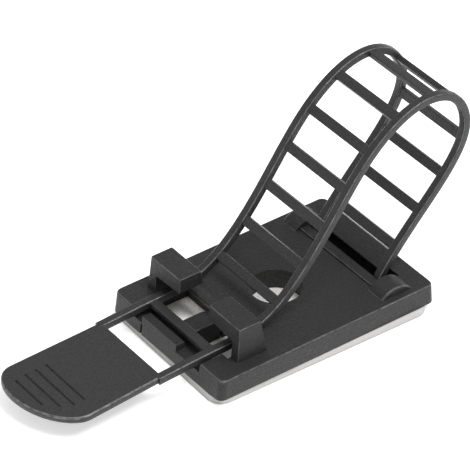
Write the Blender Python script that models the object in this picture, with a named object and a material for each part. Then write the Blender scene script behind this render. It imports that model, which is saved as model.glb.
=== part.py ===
"""Adhesive cable clip: a moulded base, a ladder strap threaded through it, a foam pad and its liner.

The frame has X along the base, from the pull tab (-X) to the hinge (+X), Y across it and Z up.
The origin is the middle of the clip's underside. Every length is in metres.
"""

import math

import bmesh
import bpy
import numpy as np
from mathutils import Matrix, Vector

X_AXIS, Y_AXIS, Z_AXIS = range(3)

# Adhesive strip under the base, stuck on a little askew
LINER_THICKNESS = 0.00015
FOAM_THICKNESS = 0.0009
LAYER_GAP = 0.0001
STRIP_SLIP = 0.00035
STRIP_TURN = math.radians(-1.3)
STRIP_CORNER_RADIUS = 0.0025

# Ladder strap: two rails joined by rungs, a solid panel at the hinge end and a pull tab
STRAP_WIDTH = 0.016
STRAP_SIDE_SHIFT = 0.0004
RAIL_WIDTH = 0.0014
RAIL_THICKNESS = 0.0013
RAIL_CHAMFER = 0.00028
RAIL_STEP = 0.001
RUNG_WIDTH = 0.00155
RUNG_THICKNESS = 0.0009
RUNG_CHAMFER = 0.00015
RUNG_PITCH = 0.00635
PANEL_LENGTH = 0.0055
PANEL_THICKNESS = 0.001
RUNG_TO_PANEL = 0.0002

# Pull tab
TAB_FROM_LATCH = 0.00863
TAB_LENGTH = 0.0189
TAB_SIDE_INSET = 0.0003
TAB_SIDE_FLARE = 0.0003
TAB_THICKNESS = 0.0012
TAB_EDGE_ROUNDING = 0.00035
TAB_END_DEPTH = 0.00475
TAB_END_SKEW = math.radians(10.8)
TAB_END_STEPS = 24
RAIL_ROOT_IN_TAB = 0.0008
TAB_SLOPE = math.radians(2.7)
GROOVE_COUNT = 4
GROOVE_PITCH = 0.00175
GROOVE_SIDE_MARGIN = 0.003
GROOVE_WIDTH = 0.0003
GROOVE_DEPTH = 0.00015
GROOVE_FROM_TAB_END = 0.0021

# Hinge pin at the strap's end, in a groove that is open at the base's underside
PIN_DIAMETER = 0.0019
PIN_OVERHANG = 0.0024
PIN_CLEARANCE = 0.0003
PIN_STEPS = 24
GROOVE_SKIN = 0.0006
HINGE_SIDE_CLEARANCE = 0.0003
STRAP_LEAN = math.radians(62.0)
SLOT_CLEARANCE = 0.0004

# Shape of the loop: each point's place along X, from the pin back to the loop's reach at 1 and
# forward to the pocket's rim at -1, and its height, from the pin at 0 to the loop's top at 1
LOOP_REACH = 0.01586
LOOP_HEIGHT = 0.02964
LOOP_SHARES = (
    (0.222, 0.170),
    (0.531, 0.355),
    (0.851, 0.556),
    (1.000, 0.752),
    (0.840, 0.950),
    (0.588, 1.000),
    (0.140, 0.926),
    (-0.274, 0.633),
    (-0.600, 0.308),
)
ROUTE_SAMPLES = 40

# Base plate, as a chain of lengths from its front edge to its rear edge
FRONT_WALL = 0.0014
POCKET_LENGTH = 0.0088
DECK_LENGTH = 0.0222
REAR_MARGIN = 0.006
SIDE_MARGIN = 0.00225
PLATE_THICKNESS = 0.00335
PLATE_CORNER_RADIUS = 0.0011
PLATE_FRONT_DRAFT = 0.00045
PLATE_REAR_DRAFT = 0.00025
PLATE_EDGE_ROUNDING = 0.0003
CORNER_STEPS = 8
SCREW_HOLE_DIAMETER = 0.008
SCREW_HOLE_OFFSET = 0.00025
SCREW_HOLE_STEPS = 48

# Pocket under the hooks, with the front wall that the strap runs over
POCKET_SIDE_CLEARANCE = 0.0008
RIM_CLEARANCE = 0.0003
LIP_DROP = 0.0003
LIP_WIDTH = 0.0083
LIP_TO_RAIL = 0.0009
NOTCH_DROP = 0.0014
WALL_CLEARANCE = 0.0008
SLIT_WIDTH = 0.00035
SLIT_DEPTH = 0.0005
SLIT_HEIGHT = 0.0017

# Latch: the rung that is caught, and the springy pawl tongue behind it
RUNG_TO_WALL = 0.00055
TOOTH_CLEARANCE = 0.0003
TONGUE_WIDTH = 0.0032
TONGUE_UNDERSIDE = 0.0008
TONGUE_THICKNESS = 0.0011
TONGUE_TIP_THICKNESS = 0.0014
TONGUE_TIP_GAP = 0.0019
TOOTH_HEIGHT = 0.0015
TOOTH_LAND = 0.0035
TOOTH_NOSE = 0.0004

# Hooks over the rails
HOOK_FROM_RIM = 0.0006
HOOK_LENGTH = 0.00525
HOOK_HEIGHT = 0.00555
HOOK_SETBACK = 0.00005
HOOK_POST_THICKNESS = 0.00175
HOOK_REACH = 0.0057
HOOK_ARM_THICKNESS = 0.0028
HOOK_TIP_THICKNESS = 0.00245
HOOK_FRONT_DRAFT = math.radians(5.7)
HOOK_REAR_DRAFT = math.radians(9.7)
HOOK_SIDE_DRAFT = math.radians(2.1)
HOOK_EDGE_ROUNDING = 0.0002

# Raised barrels that carry the pin's ends, and the ridge between them
BARREL_RADIUS = 0.0036
BARREL_HEIGHT = 0.00125
BARREL_CAP = 0.0009
BARREL_STEPS = 20
BARREL_EDGE_ROUNDING = 0.0003
RIDGE_LENGTH = 0.0015
RIDGE_HEIGHT = 0.0003

# How far a shape runs past or into the face that it cuts or joins
OVERCUT = 0.0005
SMOOTH_ANGLE = math.radians(35.0)

# Places that follow from the sizes above
FOAM_BOTTOM = LINER_THICKNESS + LAYER_GAP
PLATE_BOTTOM = FOAM_BOTTOM + FOAM_THICKNESS + LAYER_GAP
PLATE_TOP = PLATE_BOTTOM + PLATE_THICKNESS
PLATE_LENGTH = FRONT_WALL + POCKET_LENGTH + DECK_LENGTH + REAR_MARGIN
FRONT_X = -PLATE_LENGTH / 2
POCKET_FRONT_X = FRONT_X + FRONT_WALL
RIM_X = POCKET_FRONT_X + POCKET_LENGTH
PIN_X = RIM_X + DECK_LENGTH

STRAP_HALF_SPAN = STRAP_WIDTH / 2 + abs(STRAP_SIDE_SHIFT)
POCKET_HALF_WIDTH = STRAP_HALF_SPAN + POCKET_SIDE_CLEARANCE
HOOK_INNER_Y = POCKET_HALF_WIDTH + HOOK_SETBACK
HOOK_OUTER_Y = HOOK_INNER_Y + HOOK_POST_THICKNESS
PLATE_WIDTH = 2 * (HOOK_OUTER_Y + SIDE_MARGIN)
BARREL_INNER_Y = STRAP_HALF_SPAN + HINGE_SIDE_CLEARANCE
PIN_HALF_LENGTH = STRAP_WIDTH / 2 + PIN_OVERHANG
PIN_GROOVE_HALF_LENGTH = PIN_HALF_LENGTH + abs(STRAP_SIDE_SHIFT) + PIN_CLEARANCE
BARREL_OUTER_Y = PIN_GROOVE_HALF_LENGTH + BARREL_CAP

PIN_GROOVE_RADIUS = PIN_DIAMETER / 2 + PIN_CLEARANCE
PIN_Z = PLATE_TOP + RIDGE_HEIGHT - GROOVE_SKIN - PIN_GROOVE_RADIUS
NOTCH_FLOOR_Z = PLATE_TOP - NOTCH_DROP
LATCH_X = POCKET_FRONT_X + RUNG_TO_WALL + RUNG_WIDTH / 2
TAB_X = LATCH_X - TAB_FROM_LATCH
WALL_STRAP_Z = NOTCH_FLOOR_Z + WALL_CLEARANCE + RAIL_THICKNESS / 2
LATCH_Z = WALL_STRAP_Z + (LATCH_X - FRONT_X) * math.tan(TAB_SLOPE)
TAB_Z = WALL_STRAP_Z - (FRONT_X - TAB_X) * math.tan(TAB_SLOPE)
TAB_HALF_WIDTH = STRAP_WIDTH / 2 - TAB_SIDE_INSET
RIM_STRAP_Z = PLATE_TOP + RIM_CLEARANCE + RAIL_THICKNESS / 2


class Route:
    """A smooth line through points of the X-Z plane, measured by the length along it."""

    def __init__(self, points, start_direction, end_direction):
        points = np.array(points)
        spans = np.linalg.norm(np.diff(points, axis=0), axis=1)
        slopes = self.knot_slopes(points, spans, start_direction, end_direction)
        samples = [points[:1]]
        headings = [slopes[:1]]
        for index, span in enumerate(spans):
            ends = points[index], points[index + 1]
            end_slopes = slopes[index] * span, slopes[index + 1] * span
            share = np.linspace(0.0, 1.0, ROUTE_SAMPLES + 1)[1:, None]
            samples.append(self.between(ends, end_slopes, share))
            headings.append(self.heading(ends, end_slopes, share))
        self.samples = np.concatenate(samples)
        self.headings = np.concatenate(headings)
        self.headings /= np.linalg.norm(self.headings, axis=1)[:, None]
        steps = np.linalg.norm(np.diff(self.samples, axis=0), axis=1)
        self.lengths = np.concatenate(([0.0], np.cumsum(steps)))
        self.knot_lengths = self.lengths[::ROUTE_SAMPLES]

    @staticmethod
    def knot_slopes(points, spans, start_direction, end_direction):
        """Slopes at the points that leave no jump in curvature between the stretches."""
        count = len(points)
        matrix = np.zeros((count, count))
        target = np.zeros((count, 2))
        matrix[0, 0] = 1.0
        matrix[-1, -1] = 1.0
        target[0] = start_direction
        target[-1] = end_direction
        for index in range(1, count - 1):
            before, after = spans[index - 1], spans[index]
            matrix[index, index - 1] = 1 / before
            matrix[index, index] = 2 / before + 2 / after
            matrix[index, index + 1] = 1 / after
            rise_before = (points[index] - points[index - 1]) / before ** 2
            rise_after = (points[index + 1] - points[index]) / after ** 2
            target[index] = 3 * (rise_before + rise_after)
        return np.linalg.solve(matrix, target)

    @staticmethod
    def between(ends, end_slopes, share):
        """Points of the cubic between two ends with given slopes."""
        start = (1 + 2 * share) * (1 - share) ** 2 * ends[0]
        finish = share ** 2 * (3 - 2 * share) * ends[1]
        leaving = share * (1 - share) ** 2 * end_slopes[0]
        arriving = share ** 2 * (share - 1) * end_slopes[1]
        return start + finish + leaving + arriving

    @staticmethod
    def heading(ends, end_slopes, share):
        """Direction of the same cubic, not yet of unit length."""
        chord = 6 * share * (1 - share) * (ends[1] - ends[0])
        leaving = (1 - share) * (1 - 3 * share) * end_slopes[0]
        arriving = share * (3 * share - 2) * end_slopes[1]
        return chord + leaving + arriving

    def at(self, length):
        """Point and unit direction at a length; past either end the line goes straight on."""
        inside = min(max(length, 0.0), self.lengths[-1])
        point = [np.interp(inside, self.lengths, self.samples[:, axis]) for axis in range(2)]
        heading = [np.interp(inside, self.lengths, self.headings[:, axis]) for axis in range(2)]
        point = np.array(point)
        heading = np.array(heading) / np.linalg.norm(heading)
        return point + (length - inside) * heading, heading

    def length_at_height(self, height):
        """Length from the start at which the line first reaches a height."""
        return self.lengths[np.argmax(self.samples[:, 1] >= height)]


def strap_route():
    """Centre line of the strap, from the hinge pin over the loop and the latch to the tab."""
    points = [(PIN_X, PIN_Z)]
    for along, rise in LOOP_SHARES:
        reach = LOOP_REACH if along > 0 else DECK_LENGTH
        points.append((PIN_X + along * reach, PIN_Z + rise * LOOP_HEIGHT))
    points.append((RIM_X, RIM_STRAP_Z))
    points.append((LATCH_X, LATCH_Z))
    points.append((TAB_X, TAB_Z))
    start = (math.cos(STRAP_LEAN), math.sin(STRAP_LEAN))
    end = (-math.cos(TAB_SLOPE), -math.sin(TAB_SLOPE))
    return Route(points, start, end)


def clear_scene():
    """Remove every object of the scene."""
    for item in list(bpy.data.objects):
        bpy.data.objects.remove(item, do_unlink=True)


def make_material(name, colour, roughness):
    """A plain Principled material."""
    material = bpy.data.materials.new(name)
    material.use_nodes = True
    shader = material.node_tree.nodes["Principled BSDF"]
    shader.inputs["Base Color"].default_value = (*colour, 1.0)
    shader.inputs["Roughness"].default_value = roughness
    shader.inputs["Metallic"].default_value = 0.0
    material.diffuse_color = (*colour, 1.0)
    return material


def with_coordinate(point, axis, value):
    """A 3D point from two coordinates, with the third one put in at its axis."""
    coordinates = list(point)
    coordinates.insert(axis, value)
    return Vector(coordinates)


def prism(outline, axis, low, high):
    """A closed shape: an outline in the two other axes, extruded along one axis."""
    shape = bmesh.new()
    cap = shape.faces.new([shape.verts.new(with_coordinate(point, axis, low)) for point in outline])
    swept = bmesh.ops.extrude_face_region(shape, geom=[cap])["geom"]
    moved = [item for item in swept if isinstance(item, bmesh.types.BMVert)]
    bmesh.ops.translate(shape, verts=moved, vec=with_coordinate((0.0, 0.0), axis, high - low))
    bmesh.ops.recalc_face_normals(shape, faces=shape.faces)
    return shape


def block(low, high):
    """A box between two opposite corners."""
    outline = [(low[0], low[1]), (high[0], low[1]), (high[0], high[1]), (low[0], high[1])]
    return prism(outline, Z_AXIS, low[2], high[2])


def arc(centre, radius, start, end, steps):
    """Points along a circular arc, both ends included."""
    points = []
    for step in range(steps + 1):
        angle = start + (end - start) * step / steps
        points.append((centre[0] + radius * math.cos(angle), centre[1] + radius * math.sin(angle)))
    return points


def chamfered_section(width, thickness, chamfer):
    """An eight-sided section, centred, as (across, thickness) points."""
    half_width, half_thickness = width / 2, thickness / 2
    section = []
    for side_a, side_b in ((1, 1), (-1, 1), (-1, -1), (1, -1)):
        flat = (side_a * (half_width - chamfer), side_b * half_thickness)
        upright = (side_a * half_width, side_b * (half_thickness - chamfer))
        section.extend((upright, flat) if side_a == side_b else (flat, upright))
    return section


def ribbon(section, stations):
    """A section in Y and Z carried along X through every station, closed at both ends."""
    shape = bmesh.new()
    rings = [[shape.verts.new((station, y, z)) for y, z in section] for station in stations]
    for ring, following in zip(rings, rings[1:]):
        for index in range(len(section)):
            beside = (index + 1) % len(section)
            shape.faces.new((ring[index], ring[beside], following[beside], following[index]))
    shape.faces.new(rings[0])
    shape.faces.new(rings[-1])
    bmesh.ops.recalc_face_normals(shape, faces=shape.faces)
    return shape


def joined(shapes):
    """Several shapes that don't meet, as one mesh to cut or join with."""
    whole = bmesh.new()
    for shape in shapes:
        spare = bpy.data.meshes.new("spare")
        shape.to_mesh(spare)
        shape.free()
        whole.from_mesh(spare)
        bpy.data.meshes.remove(spare)
    return whole


def round_edges(shape, chosen, radius, segments=2):
    """Round the edges that the test picks, and leave only flat faces for the Booleans."""
    edges = [edge for edge in shape.edges if chosen(edge)]
    bmesh.ops.bevel(
        shape, geom=edges, offset=radius, offset_type="OFFSET", segments=segments,
        profile=0.5, affect="EDGES", clamp_overlap=True,
    )
    bmesh.ops.triangulate(shape, faces=shape.faces)


def at_level(edge, axis, level):
    """Whether an edge lies wholly in the plane at a level of an axis."""
    return all(abs(vert.co[axis] - level) < OVERCUT / 100 for vert in edge.verts)


def place(name, shape, material=None):
    """Put a shape into the scene as an object."""
    mesh = bpy.data.meshes.new(name)
    shape.to_mesh(mesh)
    shape.free()
    item = bpy.data.objects.new(name, mesh)
    bpy.context.scene.collection.objects.link(item)
    if material:
        mesh.materials.append(material)
    return item


def combine(target, shape, operation):
    """Add a Boolean of a shape to an object."""
    tool = place(f"{target.name}_tool_{len(target.modifiers)}", shape)
    tool.hide_render = True
    tool.display_type = "WIRE"
    modifier = target.modifiers.new(tool.name, "BOOLEAN")
    modifier.operation = operation
    modifier.solver = "EXACT"
    modifier.object = tool


def settle(item):
    """Apply an object's Booleans to its mesh and remove their tools."""
    evaluated = item.evaluated_get(bpy.context.evaluated_depsgraph_get())
    mesh = bpy.data.meshes.new_from_object(evaluated)
    tools = [modifier.object for modifier in item.modifiers]
    item.modifiers.clear()
    item.data = mesh
    mesh.name = item.name
    for tool in tools:
        bpy.data.objects.remove(tool, do_unlink=True)


def smooth(item):
    """Shade round faces smooth and keep the real edges sharp."""
    item.data.shade_smooth()
    item.data.set_sharp_from_angle(angle=SMOOTH_ANGLE)


def rounded_outline(radius):
    """Outline of the plate's size with corners of a radius."""
    centre_x = PLATE_LENGTH / 2 - radius
    centre_y = PLATE_WIDTH / 2 - radius
    outline = []
    for turn, (side_x, side_y) in enumerate(((1, 1), (-1, 1), (-1, -1), (1, -1))):
        start = turn * math.pi / 2
        corner = (side_x * centre_x, side_y * centre_y)
        outline.extend(arc(corner, radius, start, start + math.pi / 2, CORNER_STEPS))
    return outline


def adhesive_layer(name, bottom, thickness, material):
    """One layer of the strip: the plate's size, slipped and turned a little."""
    shape = prism(rounded_outline(STRIP_CORNER_RADIUS), Z_AXIS, bottom, bottom + thickness)
    shape.transform(Matrix.Translation((-STRIP_SLIP, 0.0, 0.0)) @ Matrix.Rotation(STRIP_TURN, 4, "Z"))
    smooth(place(name, shape, material))


def plate():
    """The flat body of the base, with ends that lean out towards its underside."""
    shape = prism(rounded_outline(PLATE_CORNER_RADIUS), Z_AXIS, PLATE_BOTTOM, PLATE_TOP)
    for vert in shape.verts:
        if vert.co.z < PLATE_TOP - OVERCUT:
            vert.co.x += PLATE_REAR_DRAFT if vert.co.x > 0 else -PLATE_FRONT_DRAFT
    round_edges(shape, lambda edge: at_level(edge, Z_AXIS, PLATE_TOP), PLATE_EDGE_ROUNDING)
    return shape


def hook(side):
    """An inverted L over one rail, narrower towards its top; side is 1 or -1 along Y."""
    foot = PLATE_TOP - OVERCUT
    top = PLATE_TOP + HOOK_HEIGHT
    lean = math.tan(HOOK_SIDE_DRAFT)
    tip = HOOK_INNER_Y - HOOK_REACH
    profile = [
        (HOOK_INNER_Y, foot),
        (HOOK_OUTER_Y + OVERCUT * lean, foot),
        (HOOK_OUTER_Y - HOOK_HEIGHT * lean, top),
        (tip, top),
        (tip, top - HOOK_TIP_THICKNESS),
        (HOOK_INNER_Y, top - HOOK_ARM_THICKNESS),
    ]
    rear = RIM_X - HOOK_FROM_RIM
    shape = prism([(side * y, z) for y, z in profile], X_AXIS, rear - HOOK_LENGTH, rear)
    for vert in shape.verts:
        height = vert.co.z - PLATE_TOP
        is_rear = vert.co.x > rear - HOOK_LENGTH / 2
        draft = -math.tan(HOOK_REAR_DRAFT) if is_rear else math.tan(HOOK_FRONT_DRAFT)
        vert.co.x += height * draft
    round_edges(shape, lambda edge: not at_level(edge, Z_AXIS, foot), HOOK_EDGE_ROUNDING)
    return shape


def barrel(side):
    """A raised half barrel over one end of the hinge pin."""
    top = PLATE_TOP + BARREL_HEIGHT
    centre = (PIN_X, top - BARREL_RADIUS)
    foot = PLATE_TOP - OVERCUT
    half_angle = math.acos((foot - centre[1]) / BARREL_RADIUS)
    upright = math.pi / 2
    outline = arc(centre, BARREL_RADIUS, upright - half_angle, upright + half_angle, BARREL_STEPS)
    ends = sorted((side * BARREL_INNER_Y, side * BARREL_OUTER_Y))
    shape = prism(outline, Y_AXIS, *ends)
    outer = side * BARREL_OUTER_Y
    round_edges(
        shape,
        lambda edge: at_level(edge, Y_AXIS, outer) and not at_level(edge, Z_AXIS, foot),
        BARREL_EDGE_ROUNDING,
    )
    return shape


def ridge(slot_front):
    """The low ridge that thickens the deck over the pin, between the barrels."""
    low = (slot_front - RIDGE_LENGTH, -BARREL_INNER_Y - OVERCUT, PLATE_TOP - OVERCUT)
    high = (slot_front + OVERCUT, BARREL_INNER_Y + OVERCUT, PLATE_TOP + RIDGE_HEIGHT)
    return block(low, high)


def pocket_cut():
    """The pocket right through the plate."""
    low = (POCKET_FRONT_X, -POCKET_HALF_WIDTH, PLATE_BOTTOM - OVERCUT)
    high = (RIM_X, POCKET_HALF_WIDTH, PLATE_TOP + OVERCUT)
    return block(low, high)


def front_wall_cuts():
    """Notches for the rails on both sides of the lip, which is itself a little lower than the deck."""
    lip_end = STRAP_SIDE_SHIFT + STRAP_WIDTH / 2 - RAIL_WIDTH - LIP_TO_RAIL
    lip_start = lip_end - LIP_WIDTH
    front = FRONT_X - PLATE_FRONT_DRAFT - OVERCUT
    rear = POCKET_FRONT_X + OVERCUT
    top = PLATE_TOP + OVERCUT
    lip = block((front, lip_start, PLATE_TOP - LIP_DROP), (rear, lip_end, top))
    notches = [
        block((front, -POCKET_HALF_WIDTH, NOTCH_FLOOR_Z), (rear, lip_start, top)),
        block((front, lip_end, NOTCH_FLOOR_Z), (rear, POCKET_HALF_WIDTH, top)),
    ]
    slit = block(
        (front, lip_end - SLIT_WIDTH / 2, PLATE_BOTTOM - OVERCUT),
        (FRONT_X + SLIT_DEPTH, lip_end + SLIT_WIDTH / 2, PLATE_BOTTOM + SLIT_HEIGHT),
    )
    return lip, joined(notches), slit


def pawl_tongue():
    """Springy tongue rooted in the front wall, with a flat-topped head behind the caught rung."""
    root = POCKET_FRONT_X - FRONT_WALL / 2
    underside = PLATE_BOTTOM + TONGUE_UNDERSIDE
    beam_top = underside + TONGUE_THICKNESS
    head_top = beam_top + TOOTH_HEIGHT
    tooth_x = LATCH_X + RUNG_WIDTH / 2 + TOOTH_CLEARANCE
    tip_x = RIM_X - TONGUE_TIP_GAP
    profile = [
        (root, underside),
        (tooth_x, underside),
        (tip_x, head_top - TONGUE_TIP_THICKNESS),
        (tip_x, head_top - TOOTH_NOSE),
        (tooth_x + TOOTH_LAND, head_top),
        (tooth_x, head_top),
        (tooth_x, beam_top),
        (root, beam_top),
    ]
    return prism(profile, Y_AXIS, -TONGUE_WIDTH / 2, TONGUE_WIDTH / 2)


def screw_hole():
    """A straight round hole through the plate."""
    outline = arc((SCREW_HOLE_OFFSET, 0.0), SCREW_HOLE_DIAMETER / 2, 0.0, 2 * math.pi, SCREW_HOLE_STEPS)
    return prism(outline[:-1], Z_AXIS, PLATE_BOTTOM - OVERCUT, PLATE_TOP + OVERCUT)


def pin_groove():
    """Groove for the hinge pin, round at its top and open at the plate's underside."""
    floor = PLATE_BOTTOM - OVERCUT
    outline = arc((PIN_X, PIN_Z), PIN_GROOVE_RADIUS, 0.0, math.pi, PIN_STEPS)
    outline.append((PIN_X - PIN_GROOVE_RADIUS, floor))
    outline.append((PIN_X + PIN_GROOVE_RADIUS, floor))
    return prism(outline, Y_AXIS, -PIN_GROOVE_HALF_LENGTH, PIN_GROOVE_HALF_LENGTH)


def strap_faces_at(route, height):
    """X of the strap's front and rear faces where it rises through a height."""
    point, heading = route.at(route.length_at_height(height))
    half_thickness = RAIL_THICKNESS / 2 / heading[1]
    return point[0] - half_thickness, point[0] + half_thickness


def strap_slot(slot_front, route):
    """Slot through the deck that the strap rises out of."""
    rear_face = strap_faces_at(route, PLATE_TOP + BARREL_HEIGHT)[1]
    low = (slot_front, -BARREL_INNER_Y, PLATE_BOTTOM - OVERCUT)
    high = (rear_face + SLOT_CLEARANCE, BARREL_INNER_Y, PLATE_TOP + BARREL_HEIGHT)
    return block(low, high)


def clip_base(route, material):
    """The base moulding."""
    base = place("clip_base", plate(), material)
    slot_front = strap_faces_at(route, PIN_Z + PIN_GROOVE_RADIUS)[0] - SLOT_CLEARANCE
    lip, notches, slit = front_wall_cuts()

    combine(base, pocket_cut(), "DIFFERENCE")
    combine(base, lip, "DIFFERENCE")
    combine(base, notches, "DIFFERENCE")
    combine(base, slit, "DIFFERENCE")
    combine(base, joined([hook(1), hook(-1)]), "UNION")
    combine(base, joined([barrel(1), barrel(-1)]), "UNION")
    combine(base, ridge(slot_front), "UNION")
    combine(base, strap_slot(slot_front, route), "DIFFERENCE")
    combine(base, pin_groove(), "DIFFERENCE")
    combine(base, screw_hole(), "DIFFERENCE")
    combine(base, pawl_tongue(), "UNION")
    settle(base)
    smooth(base)


def tab_outline(tab_start):
    """Flat outline of the pull tab: it widens towards -X and ends in a skewed half ellipse."""
    half_width = TAB_HALF_WIDTH + TAB_SIDE_FLARE
    end_start = tab_start - TAB_LENGTH + TAB_END_DEPTH
    outline = []
    for cosine, sine in arc((0.0, 0.0), 1.0, math.pi / 2, 3 * math.pi / 2, TAB_END_STEPS):
        y = half_width * sine
        outline.append((end_start + TAB_END_DEPTH * cosine - y * math.tan(TAB_END_SKEW), y))
    outline.append((tab_start, -TAB_HALF_WIDTH))
    outline.append((tab_start, TAB_HALF_WIDTH))
    return outline


def tab_sides_at(outline, station):
    """Y of the tab's two sides at a station along it."""
    sides = []
    for sign in (-1, 1):
        side = sorted((x, y) for x, y in outline if sign * y > 0)
        sides.append(np.interp(station, [x for x, _ in side], [y for _, y in side]))
    return sides


def grip_grooves(tab_start):
    """Fine V grooves across the tab's upper face, as long as its outline leaves room for."""
    outline = tab_outline(tab_start)
    floor = TAB_THICKNESS / 2 - GROOVE_DEPTH
    top = TAB_THICKNESS / 2 + GROOVE_DEPTH
    flank = GROOVE_WIDTH / 2 / GROOVE_DEPTH * (top - floor)
    grooves = []
    for index in range(GROOVE_COUNT):
        centre = tab_start - TAB_LENGTH + GROOVE_FROM_TAB_END + index * GROOVE_PITCH
        near, far = tab_sides_at(outline, centre)
        profile = [(centre, floor), (centre + flank, top), (centre - flank, top)]
        grooves.append(prism(profile, Y_AXIS, near + GROOVE_SIDE_MARGIN, far - GROOVE_SIDE_MARGIN))
    return joined(grooves)


def flat_strap(route, material):
    """The strap laid out flat along -X, with its pin at the origin and its upper face up."""
    latch = route.knot_lengths[-2]
    tab_start = -(latch + TAB_FROM_LATCH)
    rail_y = (STRAP_WIDTH - RAIL_WIDTH) / 2
    rail_end = tab_start - RAIL_ROOT_IN_TAB
    stations = np.linspace(0.0, rail_end, 1 + round(-rail_end / RAIL_STEP))
    section = chamfered_section(RAIL_WIDTH, RAIL_THICKNESS, RAIL_CHAMFER)
    rails = [ribbon([(side * rail_y + y, z) for y, z in section], stations) for side in (1, -1)]
    strap = place("ladder_strap", joined(rails), material)

    rung_section = chamfered_section(RUNG_WIDTH, RUNG_THICKNESS, RUNG_CHAMFER)
    rungs = []
    centre = latch
    while centre - RUNG_WIDTH / 2 > PANEL_LENGTH + RUNG_TO_PANEL:
        rungs.append(prism([(x - centre, z) for x, z in rung_section], Y_AXIS, -rail_y, rail_y))
        centre -= RUNG_PITCH
    combine(strap, joined(rungs), "UNION")

    half_panel = PANEL_THICKNESS / 2
    panel_section = [(rail_y, half_panel), (-rail_y, half_panel), (-rail_y, -half_panel), (rail_y, -half_panel)]
    panel_stations = np.linspace(0.0, -PANEL_LENGTH, 1 + round(PANEL_LENGTH / RAIL_STEP))
    combine(strap, ribbon(panel_section, panel_stations), "UNION")

    tab = prism(tab_outline(tab_start), Z_AXIS, -TAB_THICKNESS / 2, TAB_THICKNESS / 2)
    round_edges(tab, lambda edge: at_level(edge, Z_AXIS, edge.verts[0].co.z), TAB_EDGE_ROUNDING)
    combine(strap, tab, "UNION")
    combine(strap, grip_grooves(tab_start), "DIFFERENCE")

    pin = arc((0.0, 0.0), PIN_DIAMETER / 2, 0.0, 2 * math.pi, PIN_STEPS)
    combine(strap, prism(pin[:-1], Y_AXIS, -PIN_HALF_LENGTH, PIN_HALF_LENGTH), "UNION")
    settle(strap)
    return strap


def bend(item, route):
    """Carry a flat object's points onto the route, from -X along it and from +Z to its outer side."""
    shape = bmesh.new()
    shape.from_mesh(item.data)
    bmesh.ops.triangulate(shape, faces=[face for face in shape.faces if len(face.verts) > 4])
    for vert in shape.verts:
        point, heading = route.at(-vert.co.x)
        x = point[0] + vert.co.z * heading[1]
        z = point[1] - vert.co.z * heading[0]
        vert.co = (x, vert.co.y + STRAP_SIDE_SHIFT, z)
    shape.to_mesh(item.data)
    shape.free()


def ladder_strap(route, material):
    """The strap moulding, bent into its closed loop."""
    strap = flat_strap(route, material)
    bend(strap, route)
    smooth(strap)


def main():
    """Build the clip."""
    clear_scene()
    base_nylon = make_material("black_nylon_base", (0.045, 0.045, 0.047), 0.5)
    strap_nylon = make_material("black_nylon_strap", (0.04, 0.04, 0.042), 0.42)
    foam = make_material("white_foam", (0.82, 0.82, 0.8), 0.9)
    liner = make_material("white_liner_film", (0.88, 0.88, 0.86), 0.35)
    route = strap_route()
    clip_base(route, base_nylon)
    ladder_strap(route, strap_nylon)
    adhesive_layer("foam_pad", FOAM_BOTTOM, FOAM_THICKNESS, foam)
    adhesive_layer("release_liner", 0.0, LINER_THICKNESS, liner)


main()
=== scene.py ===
"""Adhesive cable clip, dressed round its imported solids: ladder strap, base and adhesive strip.

The frame is that of the solids: X runs from the pull tab to the hinge, Y across the clip and Z up.
Sizes of the pieces are in millimetres, and sizes of the studio and of surface patterns in metres.
"""

import logging
import math
from collections.abc import Callable, Iterator
from contextlib import contextmanager
from dataclasses import dataclass, field
from enum import Enum, IntEnum

import bmesh
import bpy
import numpy as np
from mathutils import Matrix, Vector


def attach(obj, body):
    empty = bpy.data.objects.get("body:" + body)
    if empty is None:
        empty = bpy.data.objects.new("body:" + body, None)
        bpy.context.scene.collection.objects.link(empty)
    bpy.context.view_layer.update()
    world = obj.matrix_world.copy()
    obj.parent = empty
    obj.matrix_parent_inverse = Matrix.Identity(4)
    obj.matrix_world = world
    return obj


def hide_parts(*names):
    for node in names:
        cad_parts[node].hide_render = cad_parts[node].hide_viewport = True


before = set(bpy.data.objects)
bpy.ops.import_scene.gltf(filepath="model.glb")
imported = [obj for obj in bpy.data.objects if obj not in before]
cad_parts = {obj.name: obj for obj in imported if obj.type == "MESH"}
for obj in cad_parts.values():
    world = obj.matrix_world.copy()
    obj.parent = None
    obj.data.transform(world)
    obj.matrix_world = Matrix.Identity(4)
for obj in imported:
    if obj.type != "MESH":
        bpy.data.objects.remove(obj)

log = logging.getLogger("cable_clip")

MM = 0.001
BODY = "root"
# attribute marking rounded edges that get a paler colour: scuffing and a painted highlight
WEAR_AND_HIGHLIGHT_MARK = "wear_and_highlight_mask"
WHITE = (1.0, 1.0, 1.0, 1.0)
TOUCH = 1e-6  # metres within which points are merged
OVERCUT = 0.5  # millimetres by which a cutting shape reaches past what it cuts
LEVEL = 0.01  # millimetres within which a point is on a level
NEAR = 0.1  # millimetres within which a point is beside a place
ALONG = 0.9  # least share of an axis in a direction that runs along it
SQUARE = 0.1  # greatest share of an axis in a direction that is square to it
FLAT_ANGLE = 0.5  # degrees within which faces are merged into one
SMOOTH_ANGLE = 40.0  # degrees within which faces are shaded as one round form

Piece = bpy.types.Object
Tree = bpy.types.NodeTree
Socket = bpy.types.NodeSocket
Sockets = bpy.types.bpy_prop_collection
Values = dict[int | str, object]
Spot = tuple[float, float, float]
Test = Callable[[Vector, Vector, object], bool]


class Slot(Enum):
    """The record's material slots."""

    BASE = "base_nylon"
    STRAP = "strap_nylon"
    FOAM = "foam"
    LINER = "liner"


class Axis(IntEnum):
    """An axis of the frame."""

    X = 0
    Y = 1
    Z = 2


class Part(Enum):
    """What a selection in edit mode picks."""

    POINTS = "VERT"
    EDGES = "EDGE"
    FACES = "FACE"


class Join(Enum):
    """How one shape is combined with another."""

    ADD = "UNION"
    CUT = "DIFFERENCE"


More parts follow.
